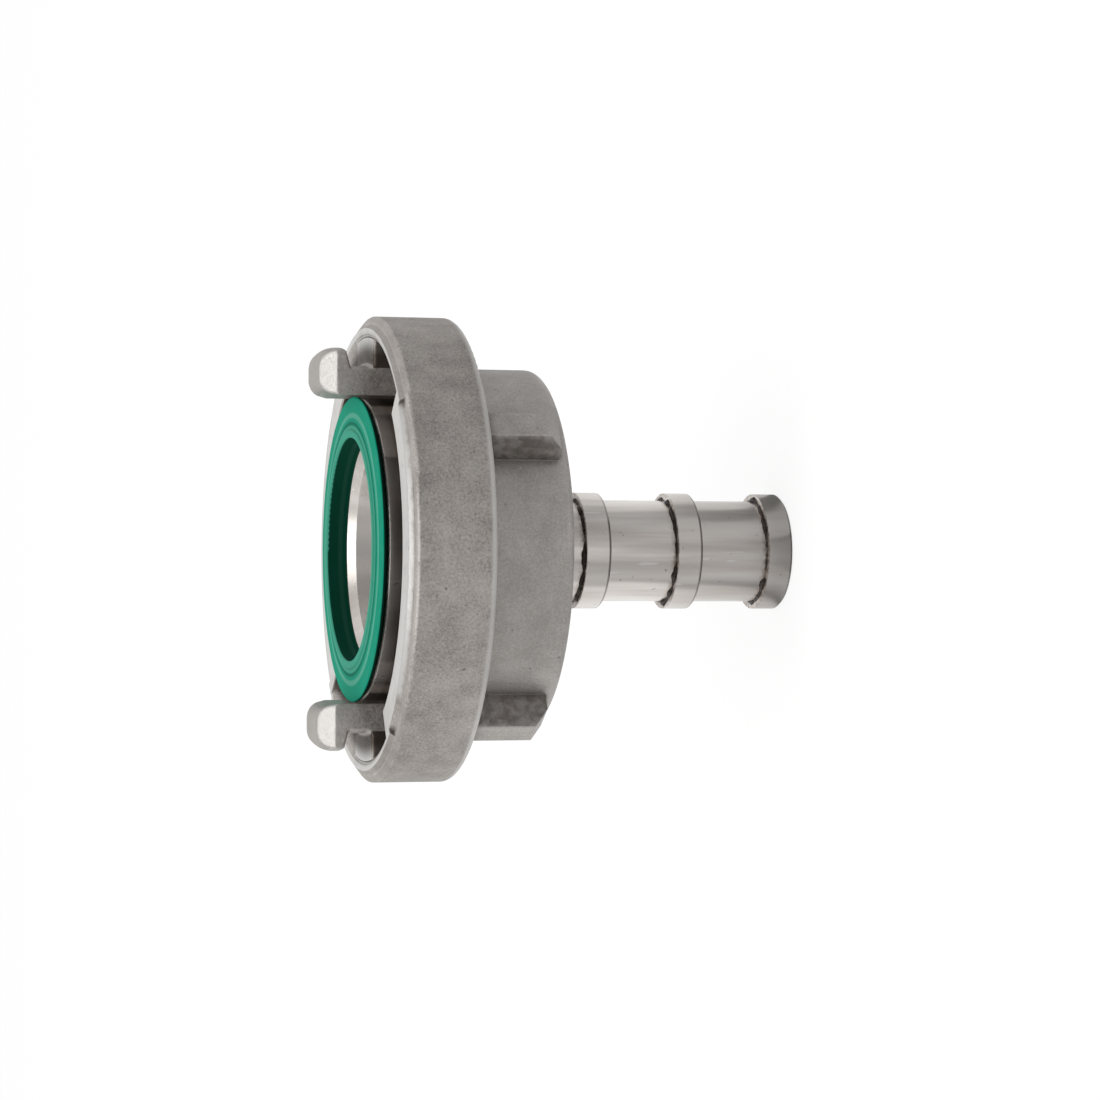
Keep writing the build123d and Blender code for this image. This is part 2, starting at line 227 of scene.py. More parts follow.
class WireLook(bpy.types.PropertyGroup):
    """Drawn wire of the hidden spring ring."""

    dull: FloatVectorProperty(
        name="Dull", description="Colour of the duller places",
        subtype="COLOR", size=3, min=0, max=1, default=(0.4, 0.39, 0.37))
    tint: FloatVectorProperty(
        name="Tint", description="Colour of the bright wire",
        subtype="COLOR", size=3, min=0, max=1, default=(0.58, 0.57, 0.55))
    grain: FloatProperty(
        name="Grain", description="Size of the drawn wire's marks",
        unit="LENGTH", default=0.8 * MM)


class ResidueLook(bpy.types.PropertyGroup):
    """Dark residue in the corners of the tail's ridges."""

    tint: FloatVectorProperty(
        name="Tint", description="Colour of the residue",
        subtype="COLOR", size=3, min=0, max=1, default=(0.02, 0.011, 0.007))
    rust: FloatVectorProperty(
        name="Rust", description="Browner places in the residue",
        subtype="COLOR", size=3, min=0, max=1, default=(0.16, 0.085, 0.05))
    grain: FloatProperty(
        name="Grain", description="Size of the browner places",
        unit="LENGTH", default=0.9 * MM)
    height: FloatProperty(
        name="Height", description="Mean height of the residue along the tail",
        unit="LENGTH", default=0.95 * MM)
    reach: FloatProperty(
        name="Reach", description="Mean height of the residue up the ridge's side",
        unit="LENGTH", default=1.05 * MM)
    lump: FloatProperty(
        name="Lump", description="Distance over which the residue swells and thins",
        unit="LENGTH", default=3.2 * MM)
    steps: IntProperty(
        name="Steps", description="Divisions around the tail",
        min=24, max=720, default=360)


class StudioLook(bpy.types.PropertyGroup):
    """Camera, floor and lamps."""

    distance: FloatProperty(
        name="Distance", description="From the camera to the middle of the coupling",
        unit="LENGTH", default=0.72)
    elevation: FloatProperty(
        name="Elevation", description="Camera's height over the horizontal",
        subtype="ANGLE", default=radians(14.9))
    roll: FloatProperty(
        name="Roll", description="Camera's turn about its own axis",
        subtype="ANGLE", default=radians(0.3))
    lens: FloatProperty(
        name="Lens", description="Focal length on a 36 mm sensor, in millimetres",
        default=108.6)
    aim_height: FloatProperty(
        name="Aim height", description="Height of the point that the camera looks at",
        unit="LENGTH", default=51.4 * MM)
    aim_side: FloatProperty(
        name="Aim side", description="How far that point lies beside the axis",
        unit="LENGTH", default=0.09 * MM)
    floor_size: FloatProperty(
        name="Floor size", description="Side of the square floor",
        unit="LENGTH", default=9.0)
    floor_tint: FloatVectorProperty(
        name="Floor", description="Colour of the floor",
        subtype="COLOR", size=3, min=0, max=1, default=(0.9, 0.9, 0.9))
    floor_glow: FloatProperty(
        name="Floor glow", description="How far the floor is plain white where no shadow falls",
        min=0, max=1, default=0.8)
    card_strength: FloatProperty(
        name="Card strength", description="Brightness of a card of tone 1 on the floor",
        min=0, default=1.05)
    world_front: FloatProperty(
        name="World front", description="Strength of the even light on the camera's side",
        min=0, default=0.27)
    world_matt: FloatProperty(
        name="World matt", description="Strength on the camera's side that matt surfaces get",
        min=0, default=0.08)
    world_back: FloatProperty(
        name="World back", description="Strength of the even light behind and above",
        min=0, default=0.95)


class DressSettings(bpy.types.PropertyGroup):
    """All settings of the coupling's dress."""

    casting: PointerProperty(type=CastingLook)
    turned: PointerProperty(type=TurnedLook)
    seal: PointerProperty(type=SealLook)
    wire: PointerProperty(type=WireLook)
    residue: PointerProperty(type=ResidueLook)
    studio: PointerProperty(type=StudioLook)


# How open a place is to the air: plainly open, and as closed as the deepest hollow.
OPEN, CLOSED = 0.88, 0.4
# How alike the softened and the real facing are: on a flat, and on an edge.
FLAT, EDGE = 0.995, 0.86


class Nodes:
    """A node tree under construction, with short calls for the nodes that it needs."""

    def __init__(self, tree):
        self.tree = tree

    def node(self, kind, **settings):
        made = self.tree.nodes.new(kind)
        for name, value in settings.items():
            setattr(made, name, value)
        return made

    def put(self, value, socket):
        """Feeds a socket with another socket, a colour or a number."""
        if isinstance(value, bpy.types.NodeSocket):
            self.tree.links.new(value, socket)
        elif hasattr(value, "__len__") and len(value) == 3 and socket.type == "RGBA":
            socket.default_value = (*value, 1)
        else:
            socket.default_value = value

    def compute(self, kind, *values):
        made = self.node("ShaderNodeMath", operation=kind)
        for value, socket in zip(values, made.inputs):
            self.put(value, socket)
        return made.outputs[0]

    def plus(self, first, second):
        return self.compute("ADD", first, second)

    def minus(self, first, second):
        return self.compute("SUBTRACT", first, second)

    def times(self, product, *others):
        for other in others:
            product = self.compute("MULTIPLY", product, other)
        return product

    def ramp(self, value, low, high, bottom=0.0, top=1.0, smooth=True):
        """Bottom up to where value is low, top from where it is high on, and a slope between."""
        made = self.node("ShaderNodeMapRange")
        if smooth:
            made.interpolation_type = "SMOOTHSTEP"
        for name, part in zip(("Value", "From Min", "From Max", "To Min", "To Max"),
                              (value, low, high, bottom, top)):
            self.put(part, made.inputs[name])
        return made.outputs["Result"]

    def band(self, value, low, high, soft):
        """1 between low and high, fading over soft on both sides."""
        return self.times(self.ramp(value, low - soft, low), self.ramp(value, high + soft, high))

    def mix(self, share, first, second):
        made = self.node("ShaderNodeMix", data_type="RGBA")
        self.put(share, made.inputs["Factor"])
        self.put(first, made.inputs["A"])
        self.put(second, made.inputs["B"])
        return made.outputs["Result"]


class Recipe(Nodes):
    """A material under construction. Its patterns lie on the coordinates of its own object."""

    def __init__(self, name):
        self.material = bpy.data.materials.new(name)
        self.material.use_nodes = True
        super().__init__(self.material.node_tree)
        self.shader = self.tree.nodes["Principled BSDF"]
        self.place = self.node("ShaderNodeTexCoord").outputs["Object"]
        self.colour = None

    def coat(self, colour, where, strength=1.0):
        """Lays a colour over what is there, where the mask says and as strongly as told."""
        if strength != 1.0:
            where = self.times(where, strength)
        self.colour = self.mix(where, self.colour, colour)

    def noise(self, size, detail=3, roughness=0.55, place=None):
        made = self.node("ShaderNodeTexNoise")
        self.put(place or self.place, made.inputs["Vector"])
        self.put(1 / size, made.inputs["Scale"])
        self.put(detail, made.inputs["Detail"])
        self.put(roughness, made.inputs["Roughness"])
        return made.outputs["Fac"]

    def cells(self, size):
        """Distance from the middle of the nearest random cell, in shares of the cell's size."""
        made = self.node("ShaderNodeTexVoronoi")
        self.put(self.place, made.inputs["Vector"])
        self.put(1 / size, made.inputs["Scale"])
        return made.outputs["Distance"]

    def stretch(self, scale, turn=(0, 0, 0)):
        made = self.node("ShaderNodeMapping")
        self.put(self.place, made.inputs["Vector"])
        made.inputs["Rotation"].default_value = turn
        made.inputs["Scale"].default_value = scale
        return made.outputs["Vector"]

    def split(self):
        made = self.node("ShaderNodeSeparateXYZ")
        self.put(self.place, made.inputs[0])
        return made.outputs["X"], made.outputs["Y"], made.outputs["Z"]

    def radius(self):
        x, y, _ = self.split()
        return self.compute("SQRT", self.plus(self.times(x, x), self.times(y, y)))

    def facing(self):
        """How far the surface faces along the axis to the mouth, and round the axis either way."""
        parts = self.node("ShaderNodeSeparateXYZ")
        self.put(self.node("ShaderNodeTexCoord").outputs["Normal"], parts.inputs[0])
        x, y, _ = self.split()
        across = self.minus(self.times(x, parts.outputs["Y"]), self.times(y, parts.outputs["X"]))
        sideways = self.compute("ABSOLUTE", self.compute("DIVIDE", across, self.radius()))
        return parts.outputs["Z"], sideways

    def hollow(self, reach):
        """0 in the open, up to 1 deep in hollows about as wide as reach."""
        open_share = self.node("ShaderNodeAmbientOcclusion", samples=8, only_local=True)
        open_share.inputs["Distance"].default_value = reach
        return self.ramp(open_share.outputs["AO"], OPEN, CLOSED, smooth=False)

    def soft_edge(self, size):
        """Shading normal that rounds edges, and a mask that is 1 on them."""
        soft = self.node("ShaderNodeBevel", samples=6)
        soft.inputs["Radius"].default_value = size
        geometry = self.node("ShaderNodeNewGeometry")
        dot = self.node("ShaderNodeVectorMath", operation="DOT_PRODUCT")
        self.put(soft.outputs["Normal"], dot.inputs[0])
        self.put(geometry.outputs["Normal"], dot.inputs[1])
        return soft.outputs["Normal"], self.ramp(dot.outputs["Value"], FLAT, EDGE)

    def bump(self, height, depth, normal=None, strength=1.0):
        made = self.node("ShaderNodeBump")
        made.inputs["Strength"].default_value = strength
        made.inputs["Distance"].default_value = depth
        self.put(height, made.inputs["Height"])
        if normal is not None:
            self.put(normal, made.inputs["Normal"])
        return made.outputs["Normal"]

    def finish(self, **sockets):
        """Feeds the shader's sockets, the coats to its colour, and gives the material."""
        if self.colour is not None:
            self.put(self.colour, self.shader.inputs["Base Color"])
        for name, value in sockets.items():
            self.put(value, self.shader.inputs[name.replace("_", " ")])
        return self.material


def cast_stainless(look):
    """Blasted casting: grain, blotches, pits, painted brown shade in the hollows, a machined front."""
    recipe = Recipe("cast_stainless")
    ramp, band, times = recipe.ramp, recipe.band, recipe.times
    x, _, z = recipe.split()
    radius = recipe.radius()
    up, sideways = recipe.facing()
    soft, edge = recipe.soft_edge(look.edge_round)
    grain = recipe.noise(look.grain, detail=4, roughness=0.65)
    fine = recipe.noise(look.grain * 0.4, detail=2)
    blotch = recipe.noise(look.blotch, detail=4, roughness=0.6)
    broad = recipe.noise(look.blotch * 4, detail=2)

    # The blasted skin: mostly grain, less of the blotches and broad clouds, and a bright speck here
    # and there.
    level = recipe.plus(times(grain, 1.15), times(blotch, 0.42))
    level = recipe.plus(level, times(recipe.minus(broad, 1.21), 0.4))
    recipe.colour = recipe.mix(ramp(level, 0.25, 0.75, smooth=False), look.shade, look.tint)
    speck = ramp(recipe.noise(look.grain * 1.6, detail=1), 0.7, 0.78)
    recipe.coat(look.wear_and_highlight, speck, 0.35)

    # The machined front and all rubbed edges.
    faced = times(ramp(up, *FACES_FRONT), band(z, FRONT_LOW, FRONT_HIGH, 0.1 * MM))
    recipe.coat(look.faced, times(faced, ramp(blotch, 0.25, 0.5, 0.7, 0.95)))
    recipe.coat(look.wear_and_highlight, times(edge, ramp(blotch, 0.35, 0.65, 0.15, 0.6)))

    # The paler hub, darker rib sides that are partly dirt and partly painted shade, and a painted
    # highlight along the ring's rear edge.
    recipe.coat(look.wear_and_highlight, ramp(z, HUB_TOP, HUB_TOP - 2 * MM), 0.22)
    # Rib sides: mottled dirt and painted shade from the corner they stand in.
    ribs = times(ramp(sideways, *RIB_SIDE), ramp(z, HUB_TOP - MM, HUB_TOP - 2 * MM))
    mottle = recipe.noise(2.2 * MM, detail=3)
    recipe.coat(look.painted_shade, times(ribs, ramp(mottle, 0.35, 0.65, 0.65, 0.3)))
    # Painted highlight: a bright line along the ring's rear edge.
    rear_edge_highlight = times(ramp(radius, RING_OUTSIDE - 0.6 * MM, RING_OUTSIDE),
                      ramp(z, HUB_TOP + 0.4 * MM, HUB_TOP - 0.4 * MM))
    recipe.coat(look.wear_and_highlight, rear_edge_highlight, 0.6)

    # The claws: paler stems, painted shade on the noses, bright ground bevels on the hooks.
    recipe.coat(look.wear_and_highlight, ramp(z, FRONT_HIGH - 2 * MM, HOOK_FOOT), 0.22)
    # Painted shade: the ends of the noses darkened for how the light falls on them.
    recipe.coat(look.shade, ramp(z, NOSE_FOOT, NOSE_FOOT + 0.4 * MM), 0.55)
    ground = times(ramp(sideways, *BEVEL_SIDE), band(up, *BEVEL_LEAN, 0.06),
                   ramp(z, HOOK_FOOT, HOOK_FOOT + 0.3 * MM), ramp(grain, 0.3, 0.55, 0.75, 1.0))
    recipe.coat(look.ground, ground)

    # The front: a painted highlight along a crest that wanders a little between the claws, and painted
    # shade on the slope over them.
    from_middle = recipe.compute("DIVIDE", recipe.compute("ABSOLUTE", x), radius)
    beside_claws = ramp(from_middle, SECTOR_SHARE + 0.02, SECTOR_SHARE - 0.02)
    # Painted highlight: a bright line along the front's edge beside the claws.
    wander = times(recipe.minus(recipe.noise(1.8 * MM, detail=3), 0.5), 2.0 * MM)
    crest = band(recipe.plus(radius, wander), *CREST, 0.6 * MM)
    crest = times(crest, ramp(up, *CREST_LEAN), ramp(z, FRONT_LOW - MM, FRONT_LOW), beside_claws)
    recipe.coat(look.crest, crest)
    # Painted shade: the slope over the claws darkened to the tone of the outer side.
    slope = times(band(up, *SLOPE_LEAN, 0.04), ramp(z, FRONT_LOW - 4 * MM, FRONT_LOW),
                  ramp(radius, RIM_OUTSIDE, RIM_OUTSIDE + 0.4 * MM))
    recipe.coat(look.shade, times(slope, recipe.minus(1.0, beside_claws)), 0.45)

    # Pits, some cells with one and most without.
    chance = ramp(recipe.noise(look.pit_spacing * 2.3, detail=1), 0.53, 0.63)
    pit = times(chance, ramp(recipe.cells(look.pit_spacing), times(chance, 0.17), 0.02))
    recipe.coat(look.pit, pit, 0.6)

    # Painted brown shade inside the rim and in every hollow, strongest where ambient occlusion finds a
    # hollow.
    inside = times(ramp(radius, RIM_INSIDE, LIP_OUTSIDE), band(z, HUB_TOP, FRONT_LOW, 0.2 * MM),
                   ramp(radius, STEM_OUTSIDE, STEM_OUTSIDE + 0.3 * MM))
    recipe.coat(look.painted_shade, inside)
    recipe.coat(look.painted_shade, times(recipe.hollow(look.painted_shade_reach), ramp(blotch, 0.25, 0.7, 0.75, 1.0)))

    roughness = ramp(grain, 0.3, 0.7, look.roughness - 0.06, look.roughness + 0.1)
    roughness = recipe.minus(roughness, times(ground, 0.05))
    normal = recipe.bump(blotch, 0.25 * MM, soft, 0.5)
    normal = recipe.bump(grain, 0.12 * MM, normal, 0.6)
    normal = recipe.bump(fine, 0.04 * MM, normal, 0.6)
    normal = recipe.bump(times(pit, -1), 0.2 * MM, normal, 0.7)
    return recipe.finish(Metallic=look.metallic, Roughness=roughness, Normal=normal)


# Scales of the shank's patterns: rings round the axis, and thin slanted scratches.
LINE_STRETCH = (0.01, 0.01, 1)
SCRATCH_STRETCH = (700, 700, 90)
SCRATCH_TURN = (0.5, 0.35, 0.2)
# The streaks change this much along the tail, in radians for each metre.
STREAK_DRIFT = 6.0
# A quarter turn, which draws highlights out along the axis, across the turning lines.
ACROSS_LINES = 0.25


def turned_stainless(look):
    """Turned bright steel: turning lines, lengthwise streaks, scratches and brown corners."""
    recipe = Recipe("turned_stainless")
    ramp, band, times = recipe.ramp, recipe.band, recipe.times
    x, y, z = recipe.split()
    lines = recipe.noise(look.line_pitch, detail=2, place=recipe.stretch(LINE_STRETCH))
    around = recipe.node("ShaderNodeCombineXYZ")
    recipe.put(recipe.compute("ARCTAN2", y, x), around.inputs["X"])
    recipe.put(times(z, STREAK_DRIFT), around.inputs["Y"])
    streak = recipe.noise(2 * pi / look.streaks, detail=3, place=around.outputs["Vector"])
    slanted = recipe.stretch(SCRATCH_STRETCH, turn=SCRATCH_TURN)
    scratch = ramp(recipe.noise(1.0, detail=1, place=slanted), 0.71, 0.76)
    spots = ramp(recipe.noise(1.6 * MM, detail=2), 0.7, 0.74)
    recipe.colour = recipe.mix(ramp(streak, 0.35, 0.65), look.dull, look.tint)
    recipe.coat(look.scratch, scratch, 0.5)
    recipe.coat(look.spot, spots, 0.45)

    # Each ridge: a brown stain behind it and painted shade on the chamfer of its front edge.
    patches = ramp(recipe.noise(1.1 * MM, detail=3), 0.35, 0.62)
    for corner_z in RIDGE_CORNERS:
        behind = recipe.minus(z, corner_z)
        stain = times(ramp(behind, 1.6 * MM, 0.1 * MM), ramp(behind, -0.3 * MM, 0.0), patches)
        recipe.coat(look.stain, stain, 0.5)
        # Painted shade: a dark line on the front edge's chamfer.
        front_z = corner_z - RIDGE_LENGTH
        line = band(z, front_z - 0.1 * MM, front_z + 0.5 * MM, 0.15 * MM)
        recipe.coat(look.painted_edge_shade, line, 0.6)

    # Painted brown shade round the head, up to its edge.
    head = times(ramp(recipe.radius(), HEAD_INSIDE, HEAD_INSIDE + MM), ramp(z, HEAD_FOOT, HEAD_MIDDLE),
                 ramp(streak, 0.35, 0.6, 0.55, 1.0), ramp(z, HEAD_EDGE + 0.5 * MM, HEAD_EDGE))
    recipe.coat(look.painted_shade, head, 0.7)

    roughness = ramp(streak, 0.3, 0.7, look.roughness + 0.08, look.roughness - 0.03)
    normal = recipe.bump(lines, 0.006 * MM, strength=0.6)
    normal = recipe.bump(times(scratch, -1), 0.02 * MM, normal, 0.6)
    tangent = recipe.node("ShaderNodeTangent", direction_type="RADIAL", axis="Z")
    return recipe.finish(
        Metallic=1.0, Roughness=roughness, Normal=normal, Tangent=tangent.outputs["Tangent"],
        Anisotropic=look.anisotropy, Anisotropic_Rotation=ACROSS_LINES)


def green_elastomer(look):
    """Matt moulded elastomer: painted highlights on the lip and ridge, painted shade in the bore and
    groove, a painted shadow on the outer side, fine dust.
    """
    recipe = Recipe("green_elastomer")
    ramp, band, times = recipe.ramp, recipe.band, recipe.times
    _, _, z = recipe.split()
    radius = recipe.radius()
    up, _ = recipe.facing()
    soft, edge = recipe.soft_edge(look.edge_round)
    cloud = recipe.noise(4 * MM, detail=3)
    specks = ramp(recipe.noise(0.5 * MM, detail=1), 0.72, 0.78)
    upright = ramp(up, *UPRIGHT)
    recipe.colour = recipe.mix(ramp(cloud, 0.3, 0.75, 0.0, 0.06), look.tint, look.dust_and_sheen)
    # Painted highlight, with some dust: paler bands on the lip and on the ridge.
    recipe.coat(look.dust_and_sheen, band(radius, *SEAL_LIP, 0.3 * MM), 0.16)
    recipe.coat(look.dust_and_sheen, band(radius, *SEAL_RIDGE, 0.5 * MM), 0.27)
    # Painted shade: darker in the groove, and nearly black green on the bore's upright wall.
    recipe.coat(look.deep, band(radius, *SEAL_GROOVE, 0.25 * MM), 0.5)
    bore = times(upright, ramp(radius, SEAL_BORE[1], SEAL_BORE[0]))
    recipe.coat(look.deep, bore, 0.92)
    # A faint paler line round the bore.
    line = band(z, SEAL_LINE_LOW, SEAL_LINE_HIGH, 0.3 * MM)
    recipe.coat(look.dust_and_sheen, times(bore, line), 0.035)
    # Painted shadow: the flange's outer side near black.
    recipe.coat(look.gap, times(upright, ramp(radius, *SEAL_SIDE)), 0.93)
    recipe.coat(look.dust_and_sheen, edge, 0.12)
    recipe.coat(look.dust_and_sheen, times(specks, ramp(up, 0.8, 0.9)), 0.3)
    roughness = ramp(cloud, 0.3, 0.7, look.roughness - 0.05, look.roughness + 0.08)
    normal = recipe.bump(recipe.noise(look.grain, detail=3), 0.03 * MM, soft, 0.4)
    return recipe.finish(Specular_IOR_Level=look.shine, Roughness=roughness, Normal=normal)


def drawn_wire(look):
    """Drawn spring wire with brighter and duller places."""
    recipe = Recipe("drawn_wire")
    tone = recipe.noise(look.grain, detail=3)
    recipe.colour = recipe.mix(recipe.ramp(tone, 0.3, 0.7), look.dull, look.tint)
    return recipe.finish(Metallic=1.0, Roughness=recipe.ramp(tone, 0.3, 0.7, 0.25, 0.4),
                         Normal=recipe.bump(tone, 0.01 * MM))


def dark_residue(look):
    """Burnt brown residue, glossy in places."""
    recipe = Recipe("dark_residue")
    tone = recipe.noise(look.grain, detail=3)
    recipe.colour = recipe.mix(recipe.ramp(tone, 0.56, 0.78), look.tint, look.rust)
    return recipe.finish(Roughness=recipe.ramp(tone, 0.3, 0.7, 0.25, 0.6),
                         Normal=recipe.bump(tone, 0.1 * MM))


def settings():
    return bpy.context.scene.coupling_dress


def dress(node, material):
    """Gives a CAD node its material."""
    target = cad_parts[node]
    target.data.materials.clear()
    target.data.materials.append(material)


def add_mesh(name, bm):
    """Makes an object at the origin from a bmesh, with its faces pointing out."""
    bmesh.ops.recalc_face_normals(bm, faces=bm.faces)
    mesh = bpy.data.meshes.new(name)
    bm.to_mesh(mesh)
    bm.free()
    made = bpy.data.objects.new(name, mesh)
    bpy.context.scene.collection.objects.link(made)
    return made


class COUPLING_OT_claw_ring(bpy.types.Operator):
    """Finish the cast claw ring"""

    bl_idname = "coupling.claw_ring"
    bl_label = "Finish Claw Ring"

    def execute(self, context):
        dress("claw_ring", cast_stainless(settings().casting))
        return {"FINISHED"}


class COUPLING_OT_hose_shank(bpy.types.Operator):
    """Finish the turned hose shank"""

    bl_idname = "coupling.hose_shank"
    bl_label = "Finish Hose Shank"

    def execute(self, context):
        dress("hose_shank", turned_stainless(settings().turned))
        return {"FINISHED"}


class COUPLING_OT_seal(bpy.types.Operator):
    """Finish the green seal ring"""

    bl_idname = "coupling.seal"
    bl_label = "Finish Seal"

    def execute(self, context):
        dress("seal_ring", green_elastomer(settings().seal))
        return {"FINISHED"}


class COUPLING_OT_retaining_ring(bpy.types.Operator):
    """Finish the hidden spring ring"""

    bl_idname = "coupling.retaining_ring"
    bl_label = "Finish Spring Ring"

    def execute(self, context):
        dress("retaining_ring", drawn_wire(settings().wire))
        return {"FINISHED"}


class COUPLING_OT_residue(bpy.types.Operator):
    """Lay the dark residue into the corners of the tail's ridges"""

    bl_idname = "coupling.residue"
    bl_label = "Add Corner Residue"

    foot = TAIL_RADIUS - 0.05 * MM
    sink = 0.03 * MM
    still = 0.01 * MM
    hollow = (0.45 * MM, 0.55 * MM)

    def execute(self, context):
        look = settings().residue
        material = dark_residue(look)
        for number, corner_z in enumerate(RIDGE_CORNERS):
            low = corner_z - self.sink
            bm = self.spin_section(look, low)
            self.swell(bm, look, low, number)
            piece = add_mesh(f"corner_residue_{number + 1}", bm)
            piece.data.materials.append(material)
            piece.data.shade_smooth()
            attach(piece, SHANK)
        return {"FINISHED"}

    def spin_section(self, look, low):
        """An even ring, sunk a hair into the tail and the ridge, with a hollow open side."""
        bm = bmesh.new()
        section = ((0.0, 0.0), (look.reach, 0.0), self.hollow, (0.0, look.height))
        ring = [bm.verts.new((self.foot + out, 0, low + up)) for out, up in section]
        face = bm.faces.new(ring)
        bmesh.ops.spin(bm, geom=[face, *face.edges, *ring], cent=(0, 0, 0), axis=(0, 0, 1),
                       angle=2 * pi, steps=look.steps, use_merge=True)
        walls = [wall for wall in bm.faces if self.faces_round(wall)]
        bmesh.ops.delete(bm, geom=walls, context="FACES_ONLY")
        return bm

    def faces_round(self, face):
        """Whether a face stands across the ring, where the spin began, so that it must go."""
        middle = face.calc_center_median()
        return abs(face.normal.dot(Vector((-middle.y, middle.x, 0)).normalized())) > 0.9

    def swell(self, bm, look, low, number):
        """Lets the ring swell and thin by soft random lumps, and keeps its sunk inner edge still."""
        for vert in bm.verts:
            spread = Vector((vert.co.x, vert.co.y, 0))
            out = spread.length - self.foot
            up = vert.co.z - low
            if out < self.still and up < self.still:
                continue
            place = spread / look.lump + Vector((SWELL_STEP * number, 0, 0))
            size = SWELL_MIDDLE + SWELL_WIDE * noise.noise(place)
            size += SWELL_FINE * noise.noise(place * SWELL_FINENESS)
            size = min(SWELL_LIMITS[1], max(SWELL_LIMITS[0], size))
            across = spread.normalized() * (self.foot + out * size)
            vert.co = (across.x, across.y, low + up * size)


# Cards that polished metal sees round it on the floor: inner radius of the zone, then bearings in
# degrees from the camera's side, each with its tone.
CARD_ZONES = (
    (0.0, ((-180, 0.65), (-95, 0.6), (-84, 0.5), (-75, 0.18), (-68, 0.2), (-61, 0.34), (-44, 0.43),
           (-24, 0.42), (-20, 0.3), (12, 0.3), (18, 0.2), (22, 0.4), (60, 0.37), (66, 0.28),
           (74, 0.15), (104, 0.15), (109, 0.5), (180, 0.65))),
    (0.028, ((-180, 0.85), (-92, 0.72), (-80, 0.66), (-76, 0.34), (-68, 0.38), (-62, 0.5),
             (-46, 0.62), (-29, 0.6), (-24, 0.54), (0, 0.56), (10, 0.5), (20, 0.45), (26, 0.57),
             (44, 0.52), (62, 0.46), (70, 0.29), (96, 0.31), (104, 0.6), (135, 0.72), (180, 0.85))),
    (0.085, ((-180, 1.0), (-92, 1.0), (-76, 0.95), (-71, 0.62), (-65, 0.58), (-46, 0.56),
             (-43, 0.47), (-24, 0.44), (-20, 0.8), (12, 0.8), (15, 0.73), (36, 0.73), (40, 0.58),
             (78, 0.52), (95, 0.55), (104, 0.84), (135, 0.9), (180, 0.95))),
    (0.19, ((-180, 0.35), (-160, 0.6), (-110, 0.74), (-60, 0.66), (-10, 0.62), (40, 0.48),
            (100, 0.4), (150, 0.5), (165, 0.4), (180, 0.35))),
)
# Name, place, size and power in watts. Only the first is seen in polished metal.
LAMPS = (
    ("over_lamp", (0.0, -0.45, 1.0), (0.9, 0.6), 4.5),
    ("left_lamp", (-1.1, 0.5, 0.7), (0.8, 0.8), 3.0),
    ("right_lamp", (1.1, 0.6, 0.7), (0.8, 0.8), 1.5),
)
LAMP_AIM = Vector((0, 0, 0.06))
# A zone's cards fade in between these shares of its inner radius.
ZONE_FADE = (0.9, 1.25)
# Where the even light is brightest, and the leans to it between which it passes from dim to bright.
BRIGHT_SIDE = (-0.25, 0.75, 0.6)
DIM_LEAN, BRIGHT_LEAN = -0.7, 0.5
SENSOR_WIDTH = 36
VIEW_REACH = 50


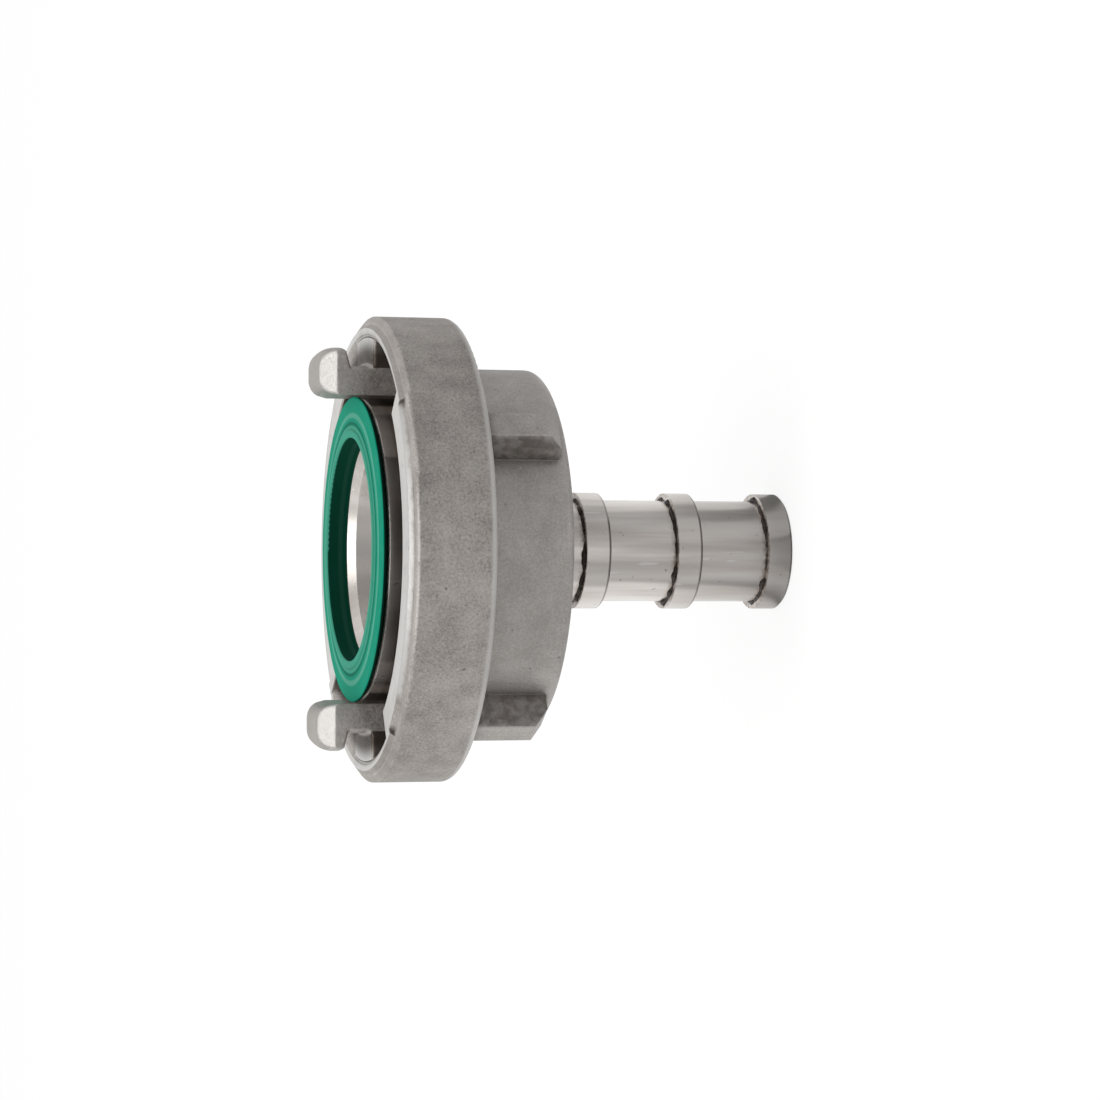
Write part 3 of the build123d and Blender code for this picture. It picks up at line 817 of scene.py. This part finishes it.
class COUPLING_OT_studio(bpy.types.Operator):
    """Set up the floor, the world, the lamps and the camera"""

    bl_idname = "coupling.studio"
    bl_label = "Build Studio"

    def execute(self, context):
        look = settings().studio
        self.add_floor(look)
        self.light_world(look)
        self.add_lamps()
        self.add_camera(look)
        bpy.context.scene.view_settings.view_transform = "Standard"
        return {"FINISHED"}

    def add_floor(self, look):
        """White floor that keeps the shadow. Polished metal sees it in soft pale cards all round."""
        bm = bmesh.new()
        bmesh.ops.create_grid(bm, x_segments=1, y_segments=1, size=look.floor_size / 2)
        floor = add_mesh("studio_floor", bm)
        recipe = Recipe("studio_floor")
        x, y, _ = recipe.split()
        bearing = recipe.compute("ARCTAN2", x, recipe.times(y, -1.0))
        turn = recipe.ramp(bearing, -pi, pi, smooth=False)
        radius = recipe.radius()
        tone = None
        for start, tones in CARD_ZONES:
            card = self.cards(recipe, turn, tones)
            if tone is None:
                tone = card
            else:
                fade = recipe.ramp(radius, *(start * share for share in ZONE_FADE))
                tone = recipe.mix(fade, tone, card)
        light_path = recipe.node("ShaderNodeLightPath")
        glossy = light_path.outputs["Is Glossy Ray"]
        glow = recipe.node("ShaderNodeEmission")
        recipe.put(recipe.mix(glossy, (1, 1, 1), tone), glow.inputs["Color"])
        glow.inputs["Strength"].default_value = look.card_strength
        seen = recipe.times(light_path.outputs["Is Camera Ray"], look.floor_glow)
        blend = recipe.node("ShaderNodeMixShader")
        recipe.put(recipe.compute("MAXIMUM", seen, glossy), blend.inputs[0])
        recipe.put(recipe.shader.outputs[0], blend.inputs[1])
        recipe.put(glow.outputs[0], blend.inputs[2])
        recipe.put(blend.outputs[0], recipe.tree.nodes["Material Output"].inputs["Surface"])
        floor.data.materials.append(recipe.finish(
            Base_Color=look.floor_tint, Roughness=1.0, Specular_IOR_Level=0.0))

    def cards(self, recipe, turn, tones):
        """The tones of one zone, blended from bearing to bearing."""
        made = recipe.node("ShaderNodeValToRGB")
        recipe.put(turn, made.inputs["Fac"])
        stops = made.color_ramp.elements
        for number, (bearing, tone) in enumerate(tones):
            place = (bearing + 180) / 360
            stop = stops[number] if number < 2 else stops.new(place)
            stop.position = place
            stop.color = (tone, tone, tone, 1)
        return made.outputs["Color"]

    def light_world(self, look):
        """Even light, brighter behind and above the coupling than on the camera's side."""
        world = bpy.data.worlds.new("studio")
        bpy.context.scene.world = world
        world.use_nodes = True
        sky = Nodes(world.node_tree)
        back = sky.tree.nodes["Background"]
        lean = sky.node("ShaderNodeVectorMath", operation="DOT_PRODUCT")
        sky.put(sky.node("ShaderNodeTexCoord").outputs["Generated"], lean.inputs[0])
        sky.put(BRIGHT_SIDE, lean.inputs[1])
        light_path = sky.node("ShaderNodeLightPath")
        front = sky.ramp(light_path.outputs["Is Diffuse Ray"], 0.0, 1.0,
                         look.world_front, look.world_matt, smooth=False)
        shade = sky.ramp(lean.outputs["Value"], DIM_LEAN, BRIGHT_LEAN, front, look.world_back)
        level = sky.ramp(light_path.outputs["Is Camera Ray"], 0.0, 1.0, shade, 1.0, smooth=False)
        sky.put((1, 1, 1), back.inputs["Color"])
        sky.put(level, back.inputs["Strength"])

    def add_lamps(self):
        for name, place, size, power in LAMPS:
            data = bpy.data.lights.new(name, "AREA")
            data.shape = "RECTANGLE"
            data.size, data.size_y = size
            data.energy = power
            lamp = bpy.data.objects.new(name, data)
            lamp.location = place
            lamp.visible_glossy = name == LAMPS[0][0]
            lamp.rotation_euler = (LAMP_AIM - Vector(place)).to_track_quat("-Z", "Y").to_euler()
            bpy.context.scene.collection.objects.link(lamp)

    def add_camera(self, look):
        """The photograph's camera, turned so that the coupling's axis lies across the picture."""
        data = bpy.data.cameras.new("photo_camera")
        data.sensor_width = SENSOR_WIDTH
        data.lens = look.lens
        data.clip_end = VIEW_REACH
        camera = bpy.data.objects.new("photo_camera", data)
        away = Vector((0, -cos(look.elevation), sin(look.elevation)))
        up = Vector((1, 0, 0))
        turn = Matrix((up.cross(away), up, away)).transposed().to_4x4()
        spot = Vector((look.aim_side, 0, look.aim_height)) + away * look.distance
        camera.matrix_world = Matrix.Translation(spot) @ turn @ Matrix.Rotation(look.roll, 4, "Z")
        bpy.context.scene.collection.objects.link(camera)
        bpy.context.scene.camera = camera


class COUPLING_PT_dress(bpy.types.Panel):
    """Lists the steps that dress the coupling."""

    bl_label = "Coupling"
    bl_idname = "COUPLING_PT_dress"
    bl_space_type = "VIEW_3D"
    bl_region_type = "UI"
    bl_category = "Coupling"

    def draw(self, context):
        for step in STEPS:
            self.layout.operator(step.bl_idname)


STEPS = (
    COUPLING_OT_studio,
    COUPLING_OT_claw_ring,
    COUPLING_OT_hose_shank,
    COUPLING_OT_seal,
    COUPLING_OT_retaining_ring,
    COUPLING_OT_residue,
)
GROUPS = (CastingLook, TurnedLook, SealLook, WireLook, ResidueLook, StudioLook, DressSettings)


def register():
    for group in GROUPS:
        bpy.utils.register_class(group)
    bpy.types.Scene.coupling_dress = PointerProperty(type=DressSettings)
    for step in (*STEPS, COUPLING_PT_dress):
        bpy.utils.register_class(step)


def unregister():
    for step in (COUPLING_PT_dress, *reversed(STEPS)):
        bpy.utils.unregister_class(step)
    del bpy.types.Scene.coupling_dress
    for group in reversed(GROUPS):
        bpy.utils.unregister_class(group)


def main():
    register()
    bpy.ops.coupling.studio()
    bpy.ops.coupling.claw_ring()
    bpy.ops.coupling.hose_shank()
    bpy.ops.coupling.seal()
    bpy.ops.coupling.retaining_ring()
    bpy.ops.coupling.residue()


if __name__ == "__main__":
    main()
